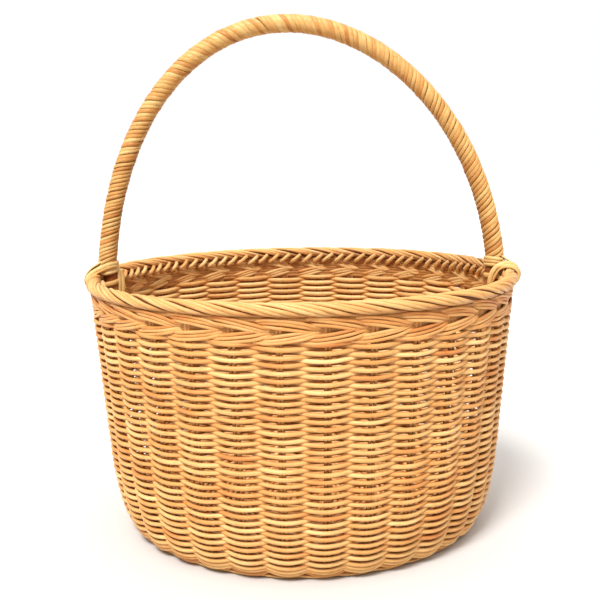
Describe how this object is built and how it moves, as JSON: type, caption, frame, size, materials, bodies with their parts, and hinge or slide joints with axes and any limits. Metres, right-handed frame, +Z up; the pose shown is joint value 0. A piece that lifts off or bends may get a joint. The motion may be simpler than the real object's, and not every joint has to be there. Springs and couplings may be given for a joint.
{
  "type": "egg collection basket",
  "caption": "Round woven cane basket for gathering eggs, with a rolled rim, an arrow-patterned wale, a flat woven base and a fixed bow handle lapped with split cane",
  "frame": {"origin": "on the ground under the middle of the base, at the middle of the object's box in X and Y", "axes": "+Z up; the bow handle spans along X and its crown leans a little toward -X; the front, as usually seen, is -Y"},
  "size_m": [0.3052, 0.3, 0.3539],
  "materials": {
    "stake_cane": "satin",
    "weaver_cane": "satin",
    "rim_cane": "satin",
    "bow_cane": "satin",
    "split_cane": "semi-gloss"
  },
  "bodies": {
    "root": {"base_stick_1": "stake_cane", "base_stick_2": "stake_cane", "base_stick_3": "stake_cane", "base_stick_4": "stake_cane", "base_stick_5": "stake_cane", "base_stick_6": "stake_cane", "base_stick_7": "stake_cane", "base_stick_8": "stake_cane", "stake_pair_01": "stake_cane", "stake_pair_02": "stake_cane", "stake_pair_03": "stake_cane", "stake_pair_04": "stake_cane", "stake_pair_05": "stake_cane", "stake_pair_06": "stake_cane", "stake_pair_07": "stake_cane", "stake_pair_08": "stake_cane", "stake_pair_09": "stake_cane", "stake_pair_10": "stake_cane", "stake_pair_11": "stake_cane", "stake_pair_12": "stake_cane", "stake_pair_13": "stake_cane", "stake_pair_14": "stake_cane", "stake_pair_15": "stake_cane", "stake_pair_16": "stake_cane", "stake_pair_17": "stake_cane", "stake_pair_18": "stake_cane", "stake_pair_19": "stake_cane", "stake_pair_20": "stake_cane", "stake_pair_21": "stake_cane", "stake_pair_22": "stake_cane", "stake_pair_23": "stake_cane", "stake_pair_24": "stake_cane", "stake_pair_25": "stake_cane", "stake_pair_26": "stake_cane", "stake_pair_27": "stake_cane", "stake_pair_28": "stake_cane", "stake_pair_29": "stake_cane", "stake_pair_30": "stake_cane", "stake_pair_31": "stake_cane", "stake_pair_32": "stake_cane", "base_weave_1": "weaver_cane", "base_weave_2": "weaver_cane", "foot_wale": "weaver_cane", "weaver_band_1": "weaver_cane", "weaver_band_2": "weaver_cane", "weaver_band_3": "weaver_cane", "weaver_band_4": "weaver_cane", "weaver_band_5": "weaver_cane", "weaver_band_6": "weaver_cane", "weaver_band_7": "weaver_cane", "weaver_band_8": "weaver_cane", "wale_lower": "rim_cane", "wale_upper": "rim_cane", "rolled_border": "rim_cane", "rim_braid_back": "rim_cane", "rim_braid_front": "rim_cane", "handle_bow": "bow_cane", "handle_lapping": "split_cane", "foot_lashing_left": "split_cane", "foot_lashing_right": "split_cane"}
  },
  "joints": []
}
